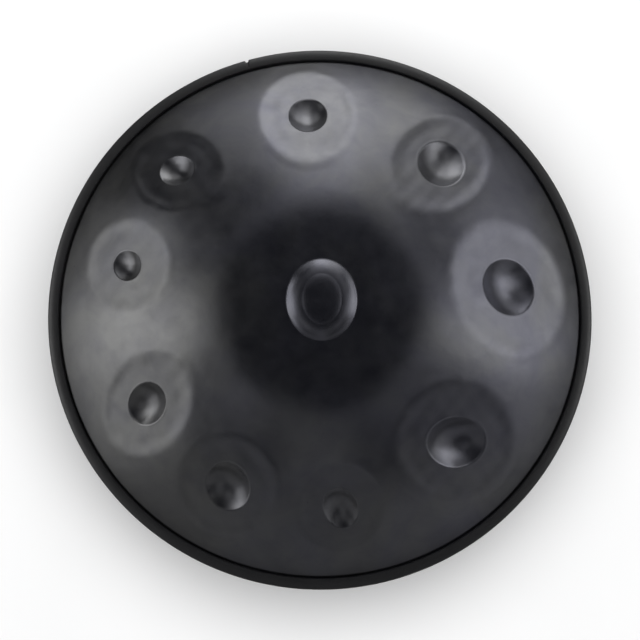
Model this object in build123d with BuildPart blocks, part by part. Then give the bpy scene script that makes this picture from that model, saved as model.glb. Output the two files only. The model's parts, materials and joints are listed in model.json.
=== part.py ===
"""Handpan: two steel shells glued at their flanges and edged with a clipped rubber trim.

Units are millimetres and +Z is up. The origin is the bottom centre, level with the resting ring.
"""
from math import asin, cos, degrees, radians, sin
import os

from build123d import *

# ---- Steel sheet and rim
SHEET = 1.2                    # steel sheet thickness
GLUE = 0.8                     # adhesive thickness between the flanges
FLANGE_R = 277.5               # outer radius of both flanges
FLANGE_Z = GLUE / 2 + SHEET    # outer face of a flange, measured from the seam
BEND_R = 1.0                   # radius of the bend between wall and flange
BEND_FOOT_R = 268.6            # where the bend meets the flat flange

# ---- Dome shape, from the centre out; slopes in degrees
CROWN_R = 80.0                 # edge of the nearly flat crown
CROWN_SLOPE = 2.5
SHOULDER_R = 115.0             # edge of the rounded shoulder
SHOULDER_SLOPE = 19.0
WALL_SLOPE = 47.0              # steepest slope, where the rim bend starts

# ---- Centre note: half length, half width, rise and foot height of its two tiers
DING_TIERS = [(40.0, 34.5, 7.4, 0.0), (25.0, 19.5, 3.2, 5.4)]
DING_CENTRE = (-0.5, 1.5)
TIER_ROOT = 1.5                # how far a tier is carried down into the body below it

# ---- Ring of tone fields, each hammered flat with an oval dimple at its middle:
# azimuth, radius, field half length and width, dimple half length, width and depth, twist
TONE_FIELDS = [
    (94, 201, 65, 45, 24, 19.5, 8.0, 0),
    (50.5, 194, 72, 45, 30, 24, 9.5, 3),
    (6.5, 193, 70, 64, 32, 28.5, 10.5, -10),
    (315, 193, 70, 57, 32.5, 26, 10.0, 31),
    (275.5, 202, 50, 41, 24, 17, 6.5, 10),
    (242.5, 203, 57, 49, 26.5, 22.5, 8.5, 23),
    (209, 200.5, 60, 43, 24, 19.5, 8.0, 14),
    (167.5, 201.5, 53, 43, 18, 15, 6.0, -19),
    (136, 205, 58, 41, 20.5, 16.5, 7.0, 12),
]
FLATTER_R = 74.0               # reach of the flattening cut round a note
FLATTER_HEIGHT = 14.0

# ---- Sound port of the bottom shell
PORT_R = 52.0                  # inside radius of the neck
NECK_LENGTH = 22.0             # straight length of the neck
MOUTH_R = 7.0                  # radius of the rolled mouth
LAND_R = 68.0                  # outer radius of the flat resting ring

# ---- Rubber trim
TRIM_R = 280.0                 # outer radius over the trim
LIP_R = 268.8                  # inner radius of the trim's lips
LIP_WALL = 2.8                 # rubber above and below the flanges
TRIM_ROUND = 4.0               # rounding of the outer edges
LIP_ROUND = 1.0                # rounding of the lip edges
JOINT_ANGLE = 106.0            # azimuth of the butt joint
JOINT_GAP = 0.1                # opening of the butt joint, degrees
NICK_WIDTH = 3.2               # nick where the cut ends meet at the outer edge
NICK_DEPTH = 2.4

# ---- Sprung steel clips moulded into the trim
CLIP_SHEET = 0.4
CLIP_COVER = 0.5               # rubber between a clip and the flange stack
CLIP_LIP_R = 270.8             # inner end of a clip's legs
CLIP_COUNT = 72
CLIP_ARC = 3.4                 # arc covered by one clip, degrees

QUARTER_TURN = 90.0
HALF_TURN = 180.0
FULL_TURN = 360.0


def arc_radius(run, slope_start, slope_end):
    """Radius of the arc that covers a horizontal run between two slopes."""
    return run / (sin(radians(slope_end)) - sin(radians(slope_start)))


def arc_rise(radius, slope_start, slope_end):
    """Height covered by an arc between two slopes."""
    return radius * (cos(radians(slope_start)) - cos(radians(slope_end)))


WALL_END_R = BEND_FOOT_R - BEND_R * sin(radians(WALL_SLOPE))
WALL_ARC = arc_radius(WALL_END_R - SHOULDER_R, SHOULDER_SLOPE, WALL_SLOPE)
SHOULDER_ARC = arc_radius(SHOULDER_R - CROWN_R, CROWN_SLOPE, SHOULDER_SLOPE)
CROWN_ARC = arc_radius(CROWN_R, 0, CROWN_SLOPE)
LAND_ARC = arc_radius(SHOULDER_R - LAND_R, 0, SHOULDER_SLOPE)

WALL_RISE = arc_rise(WALL_ARC, SHOULDER_SLOPE, WALL_SLOPE)
SHOULDER_RISE = FLANGE_Z + arc_rise(BEND_R, 0, WALL_SLOPE) + WALL_RISE
RIM_Z = SHOULDER_RISE + arc_rise(LAND_ARC, 0, SHOULDER_SLOPE)
SHOULDER_Z = RIM_Z + SHOULDER_RISE
CROWN_Z = SHOULDER_Z + arc_rise(SHOULDER_ARC, CROWN_SLOPE, SHOULDER_SLOPE)
APEX_Z = CROWN_Z + arc_rise(CROWN_ARC, 0, CROWN_SLOPE)

TRIM_Z = FLANGE_Z + LIP_WALL
CLIP_Z = FLANGE_Z + CLIP_COVER + CLIP_SHEET
CLIP_BACK_R = FLANGE_R + CLIP_COVER + CLIP_SHEET
CLIP_PITCH = FULL_TURN / CLIP_COUNT
FIRST_CLIP_ANGLE = JOINT_ANGLE + (CLIP_PITCH - CLIP_ARC) / 2


def note_plane(azimuth, radius, half_length, half_width):
    """Plane of a flattened note: Z points outwards and X runs down the slope."""
    slope_sine = sin(radians(SHOULDER_SLOPE)) + (radius - SHOULDER_R) / WALL_ARC
    slope = degrees(asin(slope_sine))
    height = SHOULDER_Z - arc_rise(WALL_ARC, SHOULDER_SLOPE, slope)
    length_bulge = half_length ** 2 / WALL_ARC / 2
    width_bulge = half_width ** 2 * slope_sine / radius / 2
    flattening = (length_bulge + width_bulge) / 2
    middle = Vector(radius, 0, height - flattening / cos(radians(slope)))
    downhill = Vector(cos(radians(slope)), 0, -slope_sine)
    outward = Vector(slope_sine, 0, cos(radians(slope)))
    return Plane(
        middle.rotate(Axis.Z, azimuth),
        x_dir=downhill.rotate(Axis.Z, azimuth),
        z_dir=outward.rotate(Axis.Z, azimuth),
    )


def oval_solid(half_length, half_width, depth, inset):
    """Egg-shaped solid, long along X, whose cap of this depth has the given oval outline."""
    width_arc = (half_width ** 2 + depth ** 2) / (2 * depth)
    length_arc = width_arc * half_length / half_width
    with BuildPart() as egg:
        with BuildSketch():
            with BuildLine():
                outline = EllipticalCenterArc(
                    (0, 0), length_arc - inset, width_arc - inset, arc_size=HALF_TURN
                )
                Line(outline @ 1, outline @ 0)
            make_face()
        revolve(axis=Axis.X)
    return egg.part, width_arc


def ding_tier(half_length, half_width, rise, foot_z, inset):
    """One raised oval of the centre note, long along Y, standing on foot_z."""
    egg, width_arc = oval_solid(half_length, half_width, rise, inset)
    with BuildPart() as tier:
        with Locations(Location((*DING_CENTRE, foot_z + rise - width_arc), (0, 0, QUARTER_TURN))):
            add(egg)
        split(bisect_by=Plane.XY.offset(foot_z - TIER_ROOT - inset), keep=Keep.TOP)
    return tier.part


def dome_block(inset):
    """Solid dome with every hammered feature; inset gives the same shape inside the sheet."""
    tiers = [
        ding_tier(half_length, half_width, rise, APEX_Z + foot, inset)
        for half_length, half_width, rise, foot in DING_TIERS
    ]
    dimples = [
        oval_solid(half_length, half_width, depth, -inset)
        for _, _, _, _, half_length, half_width, depth, _ in TONE_FIELDS
    ]

    with BuildPart() as dome:
        with BuildSketch(Plane.XZ):
            with BuildLine():
                crown = JernArc((0, APEX_Z - inset), (1, 0), CROWN_ARC - inset, -CROWN_SLOPE)
                shoulder = JernArc(
                    crown @ 1, crown % 1, SHOULDER_ARC - inset, CROWN_SLOPE - SHOULDER_SLOPE
                )
                wall = JernArc(
                    shoulder @ 1, shoulder % 1, WALL_ARC - inset, SHOULDER_SLOPE - WALL_SLOPE
                )
                bend = JernArc(wall @ 1, wall % 1, BEND_R + inset, WALL_SLOPE)
                Polyline(
                    bend @ 1,
                    ((bend @ 1).X, RIM_Z + GLUE / 2 - inset),
                    (0, RIM_Z + GLUE / 2 - inset),
                    crown @ 0,
                )
            make_face()
        revolve(axis=Axis.Z)
        for tier in tiers:
            add(tier)
        for note, (dimple, width_arc) in zip(TONE_FIELDS, dimples):
            azimuth, radius, half_length, half_width, _, _, depth, twist = note
            flat = note_plane(azimuth, radius, half_length, half_width)
            with Locations(flat.offset(-inset)):
                Cylinder(
                    FLATTER_R,
                    FLATTER_HEIGHT,
                    align=(Align.CENTER, Align.CENTER, Align.MIN),
                    mode=Mode.SUBTRACT,
                )
            with Locations(flat.offset(width_arc - depth).rotated((0, 0, twist))):
                add(dimple, mode=Mode.SUBTRACT)
    return dome.part


def section_plane(azimuth):
    """Upright plane through the axis at seam height, its X pointing out at an azimuth."""
    outward = Vector(1, 0, 0).rotate(Axis.Z, azimuth)
    return Plane((0, 0, RIM_Z), x_dir=outward, z_dir=outward.cross(Vector(0, 0, 1)))


def channel_corners(lip_r, back_r, half_height):
    """Lower lip, lower back, upper back and upper lip corners of a U-shaped channel."""
    return [(lip_r, -half_height), (back_r, -half_height), (back_r, half_height), (lip_r, half_height)]


outer_dome = dome_block(0)
inner_dome = dome_block(SHEET)

with BuildPart() as top_shell:
    add(outer_dome)
    with BuildSketch(Plane.XY.offset(RIM_Z + GLUE / 2)):
        Circle(FLANGE_R)
    extrude(amount=SHEET)
    add(inner_dome, mode=Mode.SUBTRACT)
top_shell.part.label = "top_shell"

with BuildPart() as bottom_shell:
    with BuildSketch(Plane.XZ):
        with BuildLine():
            neck = Line((PORT_R, MOUTH_R + NECK_LENGTH), (PORT_R, MOUTH_R))
            mouth = JernArc(neck @ 1, neck % 1, MOUTH_R, QUARTER_TURN)
            land = Line(mouth @ 1, (LAND_R, 0))
            shoulder = JernArc(land @ 1, land % 1, LAND_ARC, SHOULDER_SLOPE)
            wall = JernArc(shoulder @ 1, shoulder % 1, WALL_ARC, WALL_SLOPE - SHOULDER_SLOPE)
            bend = JernArc(wall @ 1, wall % 1, BEND_R, -WALL_SLOPE)
            flange = Line(bend @ 1, (FLANGE_R, (bend @ 1).Y))
            offset(amount=SHEET, side=Side.LEFT)
        make_face()
    revolve(axis=Axis.Z)
bottom_shell.part.label = "bottom_shell"

with BuildPart() as flange_adhesive:
    with BuildSketch(Plane.XY.offset(RIM_Z - GLUE / 2)):
        Circle(FLANGE_R)
        Circle(BEND_FOOT_R, mode=Mode.SUBTRACT)
    extrude(amount=GLUE)
flange_adhesive.part.label = "flange_adhesive"

with BuildPart() as trim_clip:
    with BuildSketch(section_plane(FIRST_CLIP_ANGLE)):
        Polygon(*channel_corners(CLIP_LIP_R, CLIP_BACK_R, CLIP_Z), align=None)
        fillet(vertices().sort_by(Axis.X)[-2:], CLIP_SHEET)
        Polygon(
            *channel_corners(CLIP_LIP_R, CLIP_BACK_R - CLIP_SHEET, CLIP_Z - CLIP_SHEET),
            align=None,
            mode=Mode.SUBTRACT,
        )
    revolve(axis=Axis.Z, revolution_arc=CLIP_ARC)

with BuildPart() as trim_clips:
    with PolarLocations(0, CLIP_COUNT):
        add(trim_clip.part)
trim_clips.part.label = "trim_clips"

with BuildPart() as rim_trim:
    with BuildSketch(section_plane(JOINT_ANGLE + JOINT_GAP / 2)):
        Polygon(*channel_corners(LIP_R, TRIM_R, TRIM_Z), align=None)
        fillet(vertices().sort_by(Axis.X)[-2:], TRIM_ROUND)
        fillet(vertices().sort_by(Axis.X)[:2], LIP_ROUND)
        Polygon(*channel_corners(LIP_R, FLANGE_R, FLANGE_Z), align=None, mode=Mode.SUBTRACT)
    revolve(axis=Axis.Z, revolution_arc=FULL_TURN - JOINT_GAP)
    with BuildSketch(Plane.XY.rotated((0, 0, JOINT_ANGLE)).offset(RIM_Z - TRIM_Z)):
        Polygon(
            (TRIM_R - NICK_DEPTH, 0),
            (TRIM_R, NICK_WIDTH / 2),
            (TRIM_R + NICK_DEPTH, 0),
            (TRIM_R, -NICK_WIDTH / 2),
            align=None,
        )
    extrude(amount=2 * TRIM_Z, mode=Mode.SUBTRACT)
    add(trim_clips.part, mode=Mode.SUBTRACT)
rim_trim.part.label = "rim_trim"

os.makedirs("parts", exist_ok=True)
export_step(top_shell.part, "parts/top_shell.step")
export_step(bottom_shell.part, "parts/bottom_shell.step")
export_step(flange_adhesive.part, "parts/flange_adhesive.step")
export_step(rim_trim.part, "parts/rim_trim.step")
export_step(trim_clips.part, "parts/trim_clips.step")
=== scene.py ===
"""Handpan for Blender: hammered steel shells, rubber rim trim, studio stage."""

import json
from math import cos, pi, radians, sin

import bpy
import numpy as np
from mathutils import Matrix, Vector
from mathutils.geometry import delaunay_2d_cdt


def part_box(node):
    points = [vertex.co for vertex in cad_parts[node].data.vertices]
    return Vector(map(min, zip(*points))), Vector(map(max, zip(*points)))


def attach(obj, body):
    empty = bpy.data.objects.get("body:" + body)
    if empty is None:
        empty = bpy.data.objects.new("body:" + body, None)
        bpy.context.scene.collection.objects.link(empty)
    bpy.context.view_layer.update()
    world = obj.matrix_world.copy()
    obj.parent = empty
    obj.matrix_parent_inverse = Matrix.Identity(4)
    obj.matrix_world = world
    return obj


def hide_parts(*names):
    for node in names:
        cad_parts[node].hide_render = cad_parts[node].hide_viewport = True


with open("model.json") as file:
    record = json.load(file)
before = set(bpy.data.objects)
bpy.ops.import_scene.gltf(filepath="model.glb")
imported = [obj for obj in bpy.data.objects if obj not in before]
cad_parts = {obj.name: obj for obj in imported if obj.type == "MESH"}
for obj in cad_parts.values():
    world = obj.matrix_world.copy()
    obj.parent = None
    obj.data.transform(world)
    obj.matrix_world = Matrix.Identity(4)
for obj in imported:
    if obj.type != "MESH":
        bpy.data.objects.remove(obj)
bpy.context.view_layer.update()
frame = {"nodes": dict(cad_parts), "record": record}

MM = 0.001

# ---------------------------------------------------------------- shape, from the frame
glue_low, glue_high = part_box("flange_adhesive")
trim_low, trim_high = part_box("rim_trim")
SEAM_Z = (glue_low[2] + glue_high[2]) / 2 / MM
GLUE = (glue_high[2] - glue_low[2]) / MM
PORT_R = frame["record"]["mounts"][1]["dims"]["r_mm"]
NECK_LENGTH = frame["record"]["mounts"][1]["dims"]["length_mm"]

SHEET = 1.2
FLANGE_R = 277.5
FLANGE_Z = GLUE / 2 + SHEET
BEND_R = 1.0
BEND_FOOT_R = 268.6
WALL_SLOPE = 47.0
WALL_END_R = BEND_FOOT_R - BEND_R * sin(radians(WALL_SLOPE))
CROWN = (80.0, 2.5)
SHOULDER = (115.0, 19.0)
LAND_R = 68.0
MOUTH_R = 7.0

# azimuth, radius, field half length (radial) and half width, twist,
# dimple half length, half width, depth, twist.
# Places and outlines are a solver's result from edges found in the photograph, rounded to
# half a unit or coarser. Depths and field twists were set one by one.
NOTES = [
    (94, 201, 65, 45, 0, 24, 19.5, 8.0, 0),
    (50.5, 194, 72, 45, 0, 30, 24, 9.5, 3),
    (6.5, 193, 70, 64, -24, 32, 28.5, 10.5, -10),
    (315, 193, 70, 57, 14, 32.5, 26, 10.0, 31),
    (275.5, 202, 50, 41, 0, 24, 17, 6.5, 10),
    (242.5, 203, 57, 49, 0, 26.5, 22.5, 8.5, 23),
    (209, 200.5, 60, 43, 14, 24, 19.5, 8.0, 14),
    (167.5, 201.5, 53, 43, -20, 18, 15, 6.0, -19),
    (136, 205, 58, 41, 6, 20.5, 16.5, 7.0, 12),
]
# half width, half length, rise and fullness of each tier of the centre note
DING_TIERS = [(34.5, 40.0, 7.6, 4.4), (19.5, 25.0, 0.8, 5.0)]
DING_CENTRE = (-0.5, 1.5)
FLATNESS = 0.55                 # how far a tone field is hammered towards a true plane
DISH = 0.25                     # how far a tone field sits below its own edge
MOAT = 0.32                     # shallow ring hammered just inside that edge
HAMMER = 0.035                  # height of the hammer marks left in the fields
BOWL_ANGLE = 30.0               # slope of a dimple's wall at its edge
BOWL_SINE = sin(radians(BOWL_ANGLE))
BOWL_COSINE = cos(radians(BOWL_ANGLE))
DIMPLE_LIP = 0.08               # height of the lip raised round a dimple
# The next values are fractions of an oval's own size, 1 at its edge.
FIELD_BLEND = (0.78, 0.46)      # where the blend to the dome starts, and its width
DISH_BLEND = (0.84, 0.28)
HAMMER_BLEND = (0.9, 0.3)
MOAT_PLACE = (0.78, 0.15)       # middle and width
LIP_PLACE = (1.06, 0.04)
FIELD_EASE = 0.14               # rounding where a field meets the dome
BOWL_EASE = 0.03
TIER_EASE = 0.05
DIMPLE_REACH = 1.35             # past this a dimple has no effect
TIER_REACH = 1.5
# Plan spacing of the top shell's mesh, in mm, and its points round the rim.
OUTER_STEP = 2.2
INNER_STEP = 4.4
RIM_COUNT = 720
BOTTOM_SEGMENTS = 480
TRIM_SEGMENTS = 721
JOINT_ANGLE = 106.0             # azimuth of the trim's butt joint
JOINT_HALF_GAP = 0.05           # degrees
NICK_HALF_WIDTH = 1.7           # the nick where the trim's cut ends meet
NICK_DEPTH = 2.3
NICK_REACH = 4.2


# ---------------------------------------------------------------- dome profile
def dome_table(knots, end_r, soften):
    """Height and slope of the dome against radius; knots are (radius, slope) pairs."""
    r = np.arange(0.0, end_r + 0.25, 0.25)
    sine = np.interp(r, [k[0] for k in knots], [sin(radians(k[1])) for k in knots])
    pad = int(4 * soften / 0.25)
    grown = np.concatenate([-sine[pad:0:-1], sine, 2 * sine[-1] - sine[-2:-pad - 2:-1]])
    x = np.arange(-pad, pad + 1) * 0.25
    kernel = np.exp(-0.5 * (x / soften) ** 2)
    sine = np.convolve(grown, kernel / kernel.sum(), "valid")[: len(r)]
    slope = np.arcsin(np.clip(sine, -1, 0.999))
    fall = np.tan(slope)
    drop = np.concatenate([[0], np.cumsum((fall[1:] + fall[:-1]) / 2 * np.diff(r))])
    return r, drop[-1] - drop, slope


BEND_RISE = BEND_R * (1 - cos(radians(WALL_SLOPE)))
TOP_R, TOP_Z, TOP_SLOPE = dome_table(
    [(0, 0), CROWN, SHOULDER, (WALL_END_R, WALL_SLOPE)], WALL_END_R, 7.0
)
TOP_Z = TOP_Z + FLANGE_Z + BEND_RISE


def base_height(r):
    """Height of the plain dome above the seam, including the bend and the flange."""
    z = np.interp(r, TOP_R, TOP_Z)
    into = np.clip(BEND_FOOT_R - r, 0, BEND_R)
    bend = FLANGE_Z + BEND_R - np.sqrt(BEND_R ** 2 - into ** 2)
    return np.where(r > WALL_END_R, bend, z)


def smooth(x):
    x = np.clip(x, 0, 1)
    return x * x * x * (x * (6 * x - 15) + 10)


def fade(rho, blend):
    """1 inside, 0 outside, with a smooth blend given as (start, width)."""
    start, width = blend
    return 1 - smooth((rho - start) / width)


def ridge(x, middle, width):
    """A narrow rounded ridge of height 1."""
    return np.exp(-((x - middle) / width) ** 2)


def soft_positive(x, width):
    """x where positive, 0 where negative, rounded over width."""
    return width * np.logaddexp(0, x / width)


class Note:
    """One hammered tone field: its plane, its outline and its dimple."""

    def __init__(self, azimuth, radius, length, width, twist, dim_a, dim_b, depth, dim_twist):
        a = radians(azimuth)
        slope = float(np.interp(radius, TOP_R, TOP_SLOPE))
        height = float(base_height(np.array([radius]))[0])
        self.u = np.array([cos(a) * cos(slope), sin(a) * cos(slope), -sin(slope)])
        self.v = np.array([-sin(a), cos(a), 0.0])
        self.w = np.array([cos(a) * sin(slope), sin(a) * sin(slope), cos(slope)])
        self.origin = np.array([radius * cos(a), radius * sin(a), height])
        curve_u = (np.interp(radius + 20, TOP_R, np.sin(TOP_SLOPE))
                   - np.interp(radius - 20, TOP_R, np.sin(TOP_SLOPE))) / 40
        curve_v = sin(slope) / radius
        self.sink = (curve_u * length ** 2 + curve_v * width ** 2) / 4
        self.field = (length, width, radians(twist))
        self.dimple = (dim_a, dim_b, radians(dim_twist))
        self.depth = depth

    def local(self, p):
        d = p - self.origin
        return d @ self.u, d @ self.v

    def oval(self, p, shape):
        """Distance from the middle, 1 at the oval's edge."""
        a, b, t = shape
        u, v = self.local(p)
        x = u * cos(t) + v * sin(t)
        y = -u * sin(t) + v * cos(t)
        return np.hypot(x / a, y / b)

    def plane_height(self, p):
        """Height of the flattened field above a plan position."""
        d = p - (self.origin - self.sink * self.w)
        return p[:, 2] - (d @ self.w) / self.w[2]

    def ring(self, rho, count):
        """Plan positions on an oval round the dimple."""
        a, b, t = self.dimple
        q = np.linspace(0, 2 * pi, count, endpoint=False)
        x, y = rho * a * np.cos(q), rho * b * np.sin(q)
        u, v = x * cos(t) - y * sin(t), x * sin(t) + y * cos(t)
        p = self.origin + np.outer(u, self.u) + np.outer(v, self.v)
        return p[:, :2]


NOTE_LIST = [Note(*row) for row in NOTES]
# crossing waves that stand in for hammer blows: direction in degrees, wavelength, phase
BLOWS = [(12, 31, 0.4), (67, 26, 1.9), (118, 22, 3.1), (163, 28, 5.0), (38, 17, 2.2), (141, 15, 0.9)]


def hammer_marks(plan):
    """Gentle uneven dents, about one unit high."""
    marks = np.zeros(len(plan))
    for direction, wavelength, phase in BLOWS:
        along = plan @ (cos(radians(direction)), sin(radians(direction)))
        marks += np.sin(2 * pi * along / wavelength + phase + 1.3 * np.sin(along / 41.0))
    return marks


def lift(plan):
    """Maps plan positions to the top shell's surface, in mm above the seam."""
    r = np.hypot(plan[:, 0], plan[:, 1])
    base = base_height(r)
    p = np.column_stack([plan, base])
    height = base.copy()
    marks = hammer_marks(plan)
    for note in NOTE_LIST:
        rho = note.oval(p, note.field)
        blend = fade(rho, FIELD_BLEND)
        eased = note.sink / note.w[2] * soft_positive(1 - rho ** 2, FIELD_EASE)
        height += FLATNESS * blend * (note.plane_height(p) - base) - (1 - FLATNESS) * eased
        height -= DISH * fade(rho, DISH_BLEND) + MOAT * ridge(rho, *MOAT_PLACE)
        height += HAMMER * fade(rho, HAMMER_BLEND) * marks
    p[:, 2] = height
    out = p.copy()
    for note in NOTE_LIST:
        rho = note.oval(p, note.dimple)
        bowl = (np.sqrt(np.clip(1 - (rho * BOWL_SINE) ** 2, 0, 1)) - BOWL_COSINE) / (1 - BOWL_COSINE)
        depth = note.depth * soft_positive(bowl, BOWL_EASE) - DIMPLE_LIP * ridge(rho, *LIP_PLACE)
        depth[rho > DIMPLE_REACH] = 0
        out -= np.outer(depth, note.w)
    for a, b, rise, fullness in DING_TIERS:
        rho = np.hypot((plan[:, 0] - DING_CENTRE[0]) / a, (plan[:, 1] - DING_CENTRE[1]) / b)
        out[:, 2] += rise * soft_positive(1 - rho ** fullness, TIER_EASE) * (rho < TIER_REACH)
    return out


def surface_normals(plan):
    """Unit normals of the top shell's surface, from small steps along X and Y."""
    step = 0.05
    along_x = lift(plan + (step, 0)) - lift(plan - (step, 0))
    along_y = lift(plan + (0, step)) - lift(plan - (0, step))
    normals = np.cross(along_x, along_y)
    return normals / np.linalg.norm(normals, axis=1)[:, None]


def plan_points(step, rim_count):
    """Plan positions: rings about the centre, with finer ovals round each dimple and the ding."""
    rings = list(np.arange(step, WALL_END_R - 1.0, step))
    rings += list(np.linspace(WALL_END_R, BEND_FOOT_R, 8)) + [269.5, 273.5, FLANGE_R]
    points = [np.zeros((1, 2))]
    for i, r in enumerate(rings):
        count = rim_count if r > WALL_END_R - 6 else max(12, int(2 * pi * r / step / 6) * 6)
        q = (np.arange(count) + 0.5 * (i % 2) * (r < WALL_END_R - 6)) * 2 * pi / count
        points.append(np.column_stack([r * np.cos(q), r * np.sin(q)]))
    base = np.concatenate(points)
    keep = np.ones(len(base), bool)
    flat = np.column_stack([base, base_height(np.hypot(base[:, 0], base[:, 1]))])
    local = []
    fine = step / 2
    for note in NOTE_LIST:
        keep &= note.oval(flat, note.dimple) > 1.3
        a, b, _ = note.dimple
        near = [1 + k * 0.6 / a for k in range(-4, 5)]
        inner = list(np.arange(0.08, near[0] - 0.02, fine / a * 1.6))
        outer = list(np.arange(near[-1] + 0.05, 1.29, step / a))
        for rho in inner + near + outer:
            count = max(8, int(2 * pi * rho * (a + b) / 2 / (fine * 1.5)))
            local.append(note.ring(rho, count))
        local.append(note.ring(0.0, 1))
    a, b = DING_TIERS[0][:2]
    keep &= np.hypot((base[:, 0] - DING_CENTRE[0]) / a, (base[:, 1] - DING_CENTRE[1]) / b) > 1.22
    for (a, b, _, _), spans in zip(DING_TIERS, [(0.64, 1.2), (0.05, 1.12)]):
        near = [1 + k * 0.6 / a for k in range(-4, 5)]
        rhos = list(np.arange(spans[0], near[0] - 0.02, fine / a * 1.6)) + near
        rhos += list(np.arange(near[-1] + 0.04, spans[1], fine / a * 1.6))
        for rho in rhos:
            count = max(8, int(2 * pi * rho * (a + b) / 2 / (fine * 1.5)))
            q = np.linspace(0, 2 * pi, count, endpoint=False)
            local.append(np.column_stack([DING_CENTRE[0] + rho * a * np.cos(q),
                                          DING_CENTRE[1] + rho * b * np.sin(q)]))
    return np.concatenate([base[keep]] + local)


def triangulate(plan):
    """Delaunay triangles over the plan positions."""
    result = delaunay_2d_cdt([Vector(p) for p in plan], [], [], 0, 1e-6, False)
    points = np.array([(v.x, v.y) for v in result[0]])
    return points, np.array(result[2])


def make_object(name, verts, faces, material, smooth_angle=None):
    mesh = bpy.data.meshes.new(name)
    mesh.from_pydata([tuple(v) for v in np.asarray(verts) * MM], [], [tuple(f) for f in faces])
    mesh.update()
    mesh.shade_smooth()
    if smooth_angle is not None:
        mesh.set_sharp_from_angle(angle=radians(smooth_angle))
    obj = bpy.data.objects.new(name, mesh)
    bpy.context.scene.collection.objects.link(obj)
    mesh.materials.append(material)
    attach(obj, "root")
    return obj


def boundary_ring(points, radius):
    """Indices of the points on the outermost ring, in order of angle."""
    r = np.hypot(points[:, 0], points[:, 1])
    ids = np.where(r > radius - 0.05)[0]
    return ids[np.argsort(np.arctan2(points[ids, 1], points[ids, 0]))]


def build_top_shell(material):
    outer_plan, outer_faces = triangulate(plan_points(OUTER_STEP, RIM_COUNT))
    inner_plan, inner_faces = triangulate(plan_points(INNER_STEP, RIM_COUNT))
    outer_normals = surface_normals(outer_plan)
    inner_normals = surface_normals(inner_plan)
    outer = lift(outer_plan)
    inner = lift(inner_plan) - inner_normals * SHEET
    edge = np.hypot(inner_plan[:, 0], inner_plan[:, 1]) > BEND_FOOT_R - 0.01
    inner[edge, :2] = inner_plan[edge]
    inner[edge, 2] = GLUE / 2
    n = len(outer)
    faces = [tuple(f) for f in outer_faces] + [tuple(f[::-1] + n) for f in inner_faces]
    top = boundary_ring(outer_plan, FLANGE_R)
    low = boundary_ring(inner_plan, FLANGE_R) + n
    for i in range(len(top)):
        j = (i + 1) % len(top)
        faces.append((top[i], low[i], low[j], top[j]))
    verts = np.concatenate([outer, inner])
    verts[:, 2] += SEAM_Z
    obj = make_object("hammered_top_shell", verts, faces, material)
    obj.data.normals_split_custom_set_from_vertices(
        [tuple(v) for v in np.concatenate([outer_normals, -inner_normals])]
    )
    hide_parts("top_shell")
    return obj


def spin(profile, segments, closed=True):
    """Grid of a profile turned about Z; returns vertices and quads."""
    profile = np.asarray(profile)
    q = np.linspace(0, 2 * pi, segments, endpoint=False)
    verts = np.stack([np.outer(np.cos(q), profile[:, 0]), np.outer(np.sin(q), profile[:, 0]),
                      np.outer(np.ones_like(q), profile[:, 1])], axis=2).reshape(-1, 3)
    n = len(profile)
    faces = []
    for i in range(segments):
        a, b = i * n, ((i + 1) % segments) * n
        for j in range(n if closed else n - 1):
            k = (j + 1) % n
            faces.append((a + j, b + j, b + k, a + k))
    return verts, faces


def offset_line(line, distance):
    """The line moved sideways by distance, to its left."""
    line = np.asarray(line)
    d = np.gradient(line, axis=0)
    d /= np.linalg.norm(d, axis=1)[:, None]
    return line + distance * np.column_stack([-d[:, 1], d[:, 0]])


def build_bottom_shell(material):
    r, z, _ = dome_table([(0, 0), (LAND_R, 0), SHOULDER, (WALL_END_R, WALL_SLOPE)],
                         WALL_END_R, 3.0)
    z = (z + FLANGE_Z + BEND_RISE) * SEAM_Z / (z[0] + FLANGE_Z + BEND_RISE)
    depth = z[0]
    neck = [(PORT_R, -depth + MOUTH_R + NECK_LENGTH - s) for s in np.linspace(0, NECK_LENGTH, 9)]
    turn = np.radians(np.linspace(0, 90, 13))[1:]
    mouth = [(PORT_R + MOUTH_R - MOUTH_R * cos(t), -depth + MOUTH_R - MOUTH_R * sin(t)) for t in turn]
    wall_r = np.concatenate([np.arange(PORT_R + MOUTH_R + 1.5, WALL_END_R - 1, 3.0), [WALL_END_R]])
    wall = [(a, -float(np.interp(a, r, z))) for a in wall_r]
    turn = np.radians(np.linspace(WALL_SLOPE, 0, 9))[1:]
    bend = [(BEND_FOOT_R - BEND_R * sin(t), -(FLANGE_Z + BEND_R * (1 - cos(t)))) for t in turn]
    flange = [(270.0, -FLANGE_Z), (274.0, -FLANGE_Z), (FLANGE_R, -FLANGE_Z)]
    outside = np.array(neck + mouth + wall + bend + flange)
    inside = offset_line(outside, SHEET)
    inside[-4:, 1] = -GLUE / 2
    inside[-1, 0] = FLANGE_R
    inside[:9, 0] = PORT_R + SHEET
    inside[0, 1] = outside[0, 1]
    lip = [((outside[0, 0] + inside[0, 0]) / 2, outside[0, 1] + 0.25)]
    profile = np.concatenate([outside, inside[::-1], lip])
    verts, faces = spin(profile, BOTTOM_SEGMENTS)
    verts[:, 2] += SEAM_Z
    obj = make_object("pressed_bottom_shell", verts, faces, material, 60)
    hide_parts("bottom_shell")
    return obj


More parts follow.
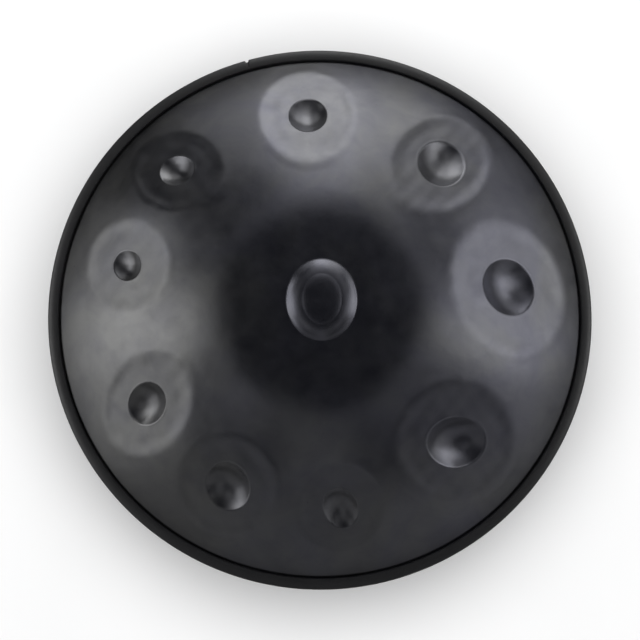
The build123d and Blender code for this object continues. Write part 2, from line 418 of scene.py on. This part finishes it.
def build_trim(material):
    """Rubber edging with a rounded back, soft lips and a butt joint."""
    half = (trim_high[2] - trim_low[2]) / 2 / MM
    outer_r = round((trim_high[0] - trim_low[0]) / MM) / 2
    crown_r, lip_r, lip_round = 270.6, 268.8, 1.1
    fullness = 2 / 2.2
    profile = [(crown_r + (outer_r - crown_r) * cos(t) ** fullness, half * sin(t) ** fullness)
               for t in np.radians(np.linspace(0, 90, 17))]
    profile += [(lip_r + lip_round * (1 - sin(t)), half - lip_round * (1 - cos(t)))
                for t in np.radians(np.linspace(0, 90, 7))]
    profile += [(lip_r, FLANGE_Z + 0.1), (lip_r + 0.15, FLANGE_Z), (FLANGE_R, FLANGE_Z)]
    profile += [(r, -z) for r, z in profile[:0:-1]]
    joint = radians(JOINT_ANGLE)
    gap = radians(JOINT_HALF_GAP)
    profile = np.array(profile)
    q = np.linspace(0, 1, TRIM_SEGMENTS)
    # closer sections near the two cut ends
    ends = np.array([0, 0.0001, 0.00025, 0.0005, 0.0009])
    q = np.unique(np.concatenate([q, ends, 1 - ends]))
    verts = []
    for t in q:
        angle = joint + gap + t * (2 * pi - 2 * gap)
        near = min(t, 1 - t) * 2 * pi * outer_r
        p = profile.copy()
        nick = max(0.0, 1 - near / NICK_HALF_WIDTH)
        if nick > 0:
            reach = smooth((p[:, 0] - (outer_r - NICK_REACH)) / NICK_REACH)
            p[:, 0] -= NICK_DEPTH * (1 - (1 - nick) ** 2) ** 0.8 * reach
            p[:, 1] *= 1 - 0.05 * nick
        verts.append(np.column_stack([p[:, 0] * cos(angle), p[:, 0] * sin(angle), p[:, 1]]))
    n = len(profile)
    faces = []
    for i in range(len(q) - 1):
        for j in range(n):
            k = (j + 1) % n
            faces.append((i * n + j, (i + 1) * n + j, (i + 1) * n + k, i * n + k))
    last = (len(q) - 1) * n
    faces.append(tuple(range(n))[::-1])
    faces.append(tuple(last + j for j in range(n)))
    verts = np.concatenate(verts)
    verts[:, 2] += SEAM_Z
    obj = make_object("rubber_rim_trim", verts, faces, material, 50)
    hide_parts("rim_trim")
    return obj


# ---------------------------------------------------------------- materials
class Nodes:
    """Small helper that adds and links shader nodes."""

    def __init__(self, name):
        self.material = bpy.data.materials.new(name)
        self.material.use_nodes = True
        self.tree = self.material.node_tree
        self.shader = self.tree.nodes["Principled BSDF"]
        coordinate = self.tree.nodes.new("ShaderNodeTexCoord")
        self.position = coordinate.outputs["Object"]

    def add(self, kind):
        return self.tree.nodes.new(kind)

    def plus(self, a, b):
        node = self.add("ShaderNodeMath")
        self.tree.links.new(a, node.inputs[0])
        self.tree.links.new(b, node.inputs[1])
        return node.outputs[0]

    def noise(self, scale, detail=3.0, roughness=0.5, distortion=0.0, stretch=None):
        node = self.tree.nodes.new("ShaderNodeTexNoise")
        node.inputs["Scale"].default_value = scale
        node.inputs["Detail"].default_value = detail
        node.inputs["Roughness"].default_value = roughness
        node.inputs["Distortion"].default_value = distortion
        source = self.position
        if stretch:
            mapping = self.tree.nodes.new("ShaderNodeMapping")
            mapping.inputs["Scale"].default_value = stretch
            self.tree.links.new(source, mapping.inputs["Vector"])
            source = mapping.outputs["Vector"]
        self.tree.links.new(source, node.inputs["Vector"])
        return node.outputs["Fac"]

    def ramp(self, source, stops):
        node = self.tree.nodes.new("ShaderNodeValToRGB")
        elements = node.color_ramp.elements
        while len(elements) < len(stops):
            elements.new(0.5)
        for element, (place, colour) in zip(elements, stops):
            element.position = place
            element.color = (*colour, 1.0)
        self.tree.links.new(source, node.inputs["Fac"])
        return node.outputs["Color"]

    def spread(self, source, low, high, from_low=0.3, from_high=0.7):
        node = self.tree.nodes.new("ShaderNodeMapRange")
        node.inputs["From Min"].default_value = from_low
        node.inputs["From Max"].default_value = from_high
        node.inputs["To Min"].default_value = low
        node.inputs["To Max"].default_value = high
        self.tree.links.new(source, node.inputs["Value"])
        return node.outputs["Result"]

    def mix(self, factor, a, b, blend="MIX"):
        node = self.tree.nodes.new("ShaderNodeMix")
        node.data_type = "RGBA"
        node.blend_type = blend
        if isinstance(factor, float):
            node.inputs[0].default_value = factor
        else:
            self.tree.links.new(factor, node.inputs[0])
        for socket, value in ((node.inputs[6], a), (node.inputs[7], b)):
            if isinstance(value, tuple):
                socket.default_value = (*value, 1.0)
            else:
                self.tree.links.new(value, socket)
        return node.outputs[2]

    def bump(self, layers):
        """Chains (height, strength, distance) layers into the shader's normal."""
        normal = None
        for height, strength, distance in layers:
            node = self.tree.nodes.new("ShaderNodeBump")
            node.inputs["Strength"].default_value = strength
            node.inputs["Distance"].default_value = distance
            self.tree.links.new(height, node.inputs["Height"])
            if normal:
                self.tree.links.new(normal, node.inputs["Normal"])
            normal = node.outputs["Normal"]
        self.tree.links.new(normal, self.shader.inputs["Normal"])

    def blend(self, factor, a, b):
        """Mixes two shaders."""
        node = self.add("ShaderNodeMixShader")
        for source, socket in ((factor, 0), (a, 1), (b, 2)):
            self.tree.links.new(source, node.inputs[socket])
        return node.outputs[0]

    def link(self, source, socket):
        self.tree.links.new(source, self.shader.inputs[socket])

    def set(self, **values):
        for socket, value in values.items():
            self.shader.inputs[socket.replace("_", " ")].default_value = value


def nitrided_steel(name, colours, base_roughness):
    """Satin gas-nitrided steel: drifting grey to blue oxide, faint hammer marks, fine grain."""
    m = Nodes(name)
    m.set(Metallic=1.0)
    across = m.add("ShaderNodeVectorMath")
    across.operation = "DOT_PRODUCT"
    across.inputs[1].default_value = (-1.0, -0.35, 0.0)
    m.tree.links.new(m.position, across.inputs[0])
    drift = m.spread(across.outputs["Value"], -0.06, 0.22, 0.02, 0.20)
    oxide = m.plus(m.noise(7.0, 5.0, 0.55, 0.7), drift)
    colour = m.ramp(oxide, list(zip((0.38, 0.52, 0.72), colours)))
    haze = m.ramp(m.noise(31.0, 4.0, 0.6, 0.5), [(0.32, (0.86, 0.86, 0.89)), (0.62, (1.0, 1.0, 1.0))])
    colour = m.mix(1.0, colour, haze, "MULTIPLY")
    specks = m.ramp(m.noise(260.0, 2.0, 0.7), [(0.70, (1.0, 1.0, 1.0)), (0.80, (0.72, 0.70, 0.69))])
    colour = m.mix(0.6, colour, specks, "MULTIPLY")
    m.link(colour, "Base Color")
    rough = m.spread(m.noise(40.0, 5.0, 0.65), base_roughness - 0.04, base_roughness + 0.05)
    m.link(rough, "Roughness")
    m.bump([
        (m.noise(46.0, 3.0, 0.5, 0.4), 0.45, 0.00032),
        (m.noise(150.0, 2.0, 0.5), 0.25, 0.00008),
        (m.noise(900.0, 2.0, 0.6), 0.20, 0.00003),
    ])
    return m.material


def rubber(name):
    """Black extruded rubber with a dull sheen and a slightly uneven skin."""
    m = Nodes(name)
    m.set(Metallic=0.0, IOR=1.75)
    m.shader.inputs["Specular IOR Level"].default_value = 1.0
    tone = m.noise(60.0, 4.0, 0.6)
    colour = m.ramp(tone, [(0.35, (0.0012, 0.0012, 0.0014)), (0.7, (0.0024, 0.0024, 0.0027))])
    m.link(colour, "Base Color")
    m.link(m.spread(m.noise(300.0, 3.0, 0.6), 0.40, 0.56), "Roughness")
    m.bump([
        (m.noise(700.0, 3.0, 0.6), 0.30, 0.00008),
        (m.noise(70.0, 2.0, 0.5), 0.45, 0.00030),
    ])
    return m.material


def plain_metal(name, colours, roughness):
    m = Nodes(name)
    m.set(Metallic=1.0)
    m.link(m.ramp(m.noise(120.0, 4.0, 0.6), list(zip((0.35, 0.65), colours))), "Base Color")
    grain = m.noise(500.0, 2.0, 0.5, 0.0, (1, 1, 14))
    m.link(m.spread(grain, roughness - 0.06, roughness + 0.06), "Roughness")
    m.bump([(m.noise(900.0, 2.0, 0.5, 0.0, (1, 1, 10)), 0.2, 0.00004)])
    return m.material


def glue(name):
    m = Nodes(name)
    m.set(Metallic=0.0)
    colour = m.ramp(m.noise(150.0, 4.0, 0.6), [(0.35, (0.03, 0.03, 0.03)), (0.7, (0.06, 0.058, 0.055))])
    m.link(colour, "Base Color")
    m.link(m.spread(m.noise(220.0, 3.0, 0.5), 0.35, 0.5), "Roughness")
    m.bump([(m.noise(260.0, 3.0, 0.5), 0.4, 0.0002)])
    return m.material


STEEL_TINTS = ((0.306, 0.308, 0.350), (0.323, 0.325, 0.344), (0.338, 0.338, 0.336))
steel = nitrided_steel("nitrided_steel", STEEL_TINTS, 0.33)
under_steel = nitrided_steel("nitrided_steel_lower", STEEL_TINTS, 0.35)
build_top_shell(steel)
build_bottom_shell(under_steel)
build_trim(rubber("black_rubber"))
CLIP_TINTS = ((0.42, 0.42, 0.43), (0.5, 0.5, 0.5))
HIDDEN_MATERIALS = {
    "flange_adhesive": glue("cured_adhesive"),
    "trim_clips": plain_metal("spring_steel", CLIP_TINTS, 0.3),
}
for node_name, material in HIDDEN_MATERIALS.items():
    node = frame["nodes"][node_name]
    node.data.materials.clear()
    node.data.materials.append(material)

# ---------------------------------------------------------------- stage and light
def stage_floor():
    """Pale floor. It fades to an even backdrop far out. Seen in the steel it is painted: painted shade
    darkens it away from the middle and a painted glow brightens the middle, so only its middle shows in
    the steel.
    """
    m = Nodes("pale_floor")
    links = m.tree.links
    distance = m.add("ShaderNodeVectorMath")
    distance.operation = "LENGTH"
    links.new(m.position, distance.inputs[0])
    reach = distance.outputs["Value"]
    tone = m.ramp(m.noise(6.0, 2.0), [(0.3, (0.80, 0.80, 0.80)), (0.7, (0.82, 0.82, 0.82))])
    m.link(tone, "Base Color")
    m.set(Roughness=0.9)
    m.shader.inputs["Specular IOR Level"].default_value = 0.0
    backdrop = m.add("ShaderNodeEmission")
    backdrop.inputs["Color"].default_value = (0.95, 0.95, 0.95, 1)
    seen = m.blend(m.spread(reach, 0.0, 1.0, 0.65, 1.30), m.shader.outputs[0], backdrop.outputs[0])
    # Rays other than the camera's see painted shade that darkens the floor with distance, and a painted
    # glow near the middle that lights the steel's underside.
    bounce_and_painted_shade = m.add("ShaderNodeBsdfDiffuse")
    links.new(m.spread(reach, 0.16, 0.008, 0.40, 0.80), bounce_and_painted_shade.inputs["Color"])
    painted_glow = m.add("ShaderNodeEmission")
    links.new(m.spread(reach, 0.10, 0.0, 0.35, 0.70), painted_glow.inputs["Strength"])
    both = m.add("ShaderNodeAddShader")
    links.new(bounce_and_painted_shade.outputs[0], both.inputs[0])
    links.new(painted_glow.outputs[0], both.inputs[1])
    path = m.add("ShaderNodeLightPath")
    surface = m.blend(path.outputs["Is Camera Ray"], both.outputs[0], seen)
    side = m.add("ShaderNodeNewGeometry")
    clear = m.add("ShaderNodeBsdfTransparent")
    surface = m.blend(side.outputs["Backfacing"], surface, clear.outputs[0])
    links.new(surface, m.tree.nodes["Material Output"].inputs["Surface"])
    return m.material


verts, faces = spin(np.array([(0.001, 0.0), (30000.0, 0.0)]), 96, closed=False)
floor_mesh = bpy.data.meshes.new("floor")
floor_mesh.from_pydata([tuple(v * MM) for v in verts], [], [f[::-1] for f in faces])
floor_mesh.materials.append(stage_floor())
floor = bpy.data.objects.new("floor", floor_mesh)
bpy.context.scene.collection.objects.link(floor)

target = Vector((0, 0, SEAM_Z * MM))


def area_light(name, azimuth, elevation, distance, width, height, energy, glossy=True):
    data = bpy.data.lights.new(name, "AREA")
    data.shape = "RECTANGLE"
    data.size = width
    data.size_y = height
    data.energy = energy
    light = bpy.data.objects.new(name, data)
    a, e = radians(azimuth), radians(elevation)
    offset = Vector((cos(a) * cos(e), sin(a) * cos(e), sin(e))) * distance
    light.location = target + offset
    light.rotation_euler = offset.to_track_quat("Z", "Y").to_euler()
    light.visible_camera = False
    light.visible_glossy = glossy
    bpy.context.scene.collection.objects.link(light)
    return light


# Softboxes stand in columns round the stage: azimuth, then watts at each elevation.
# The watts are a least-squares fit to the photograph's brightness, rounded to 0.05 W.
# That breaks the order's rule on tables made by another program.
SOFTBOX_DISTANCE, SOFTBOX_WIDTH, SOFTBOX_HEIGHT = 1.6, 0.6, 0.45
SOFTBOX_ELEVATIONS = (4, 20, 36, 52)
SOFTBOX_COLUMNS = [
    (0.0, (0.40, 0.80, 0.60, 0.20)),
    (22.5, (0.25, 0.65, 0.05, 0.00)),
    (45.0, (0.25, 0.15, 0.00, 0.15)),
    (67.5, (0.70, 0.55, 0.30, 0.00)),
    (90.0, (1.05, 0.95, 0.45, 0.15)),
    (112.5, (0.30, 0.20, 0.00, 0.05)),
    (157.5, (0.20, 0.65, 0.05, 0.05)),
    (180.0, (0.55, 0.80, 0.75, 0.15)),
    (202.5, (0.35, 0.45, 0.05, 0.00)),
    (225.0, (0.10, 0.10, 0.00, 0.15)),
    (247.5, (0.10, 0.10, 0.00, 0.00)),
    (270.0, (0.10, 0.05, 0.10, 0.10)),
    (292.5, (0.10, 0.10, 0.00, 0.00)),
    (315.0, (0.15, 0.10, 0.00, 0.10)),
    (337.5, (0.20, 0.15, 0.00, 0.00)),
]
for azimuth, column in SOFTBOX_COLUMNS:
    for elevation, watts in zip(SOFTBOX_ELEVATIONS, column):
        if watts > 0:
            area_light(f"softbox_{azimuth:g}_{elevation}", azimuth, elevation,
                       SOFTBOX_DISTANCE, SOFTBOX_WIDTH, SOFTBOX_HEIGHT, watts)
area_light("ceiling_fill", 0, 90, 2.2, 3.0, 3.0, 88, glossy=False)

world = bpy.data.worlds.new("studio")
bpy.context.scene.world = world
world.use_nodes = True
world_tree = world.node_tree
background = world_tree.nodes["Background"]
path = world_tree.nodes.new("ShaderNodeLightPath")
back = world_tree.nodes.new("ShaderNodeBackground")
back.inputs["Color"].default_value = (0.93, 0.93, 0.93, 1)
mixer = world_tree.nodes.new("ShaderNodeMixShader")
background.inputs["Color"].default_value = (0.0095, 0.0100, 0.0135, 1)
world_tree.links.new(path.outputs["Is Camera Ray"], mixer.inputs[0])
world_tree.links.new(background.outputs[0], mixer.inputs[1])
world_tree.links.new(back.outputs[0], mixer.inputs[2])
world_tree.links.new(mixer.outputs[0], world_tree.nodes["World Output"].inputs["Surface"])

# ---------------------------------------------------------------- camera
TILT, SWING, DISTANCE, LENS = radians(7.5), radians(83.0), 2.1, 114.65
AIM_SHIFT = Vector((-0.0004, -0.0045, 0.0))    # sets the framing
camera_data = bpy.data.cameras.new("camera")
camera_data.sensor_width = 36.0
camera_data.lens = LENS
camera = bpy.data.objects.new("camera", camera_data)
away = Vector((-sin(TILT) * cos(SWING), -sin(TILT) * sin(SWING), cos(TILT)))
camera.location = target + away * DISTANCE
aim = target + AIM_SHIFT
forward = (aim - camera.location).normalized()
right = forward.cross(Vector((0, 1, 0))).normalized()
up = right.cross(forward)
camera.rotation_euler = Matrix((right, up, -forward)).transposed().to_euler()
bpy.context.scene.collection.objects.link(camera)
bpy.context.scene.camera = camera
bpy.context.scene.view_settings.view_transform = "Standard"
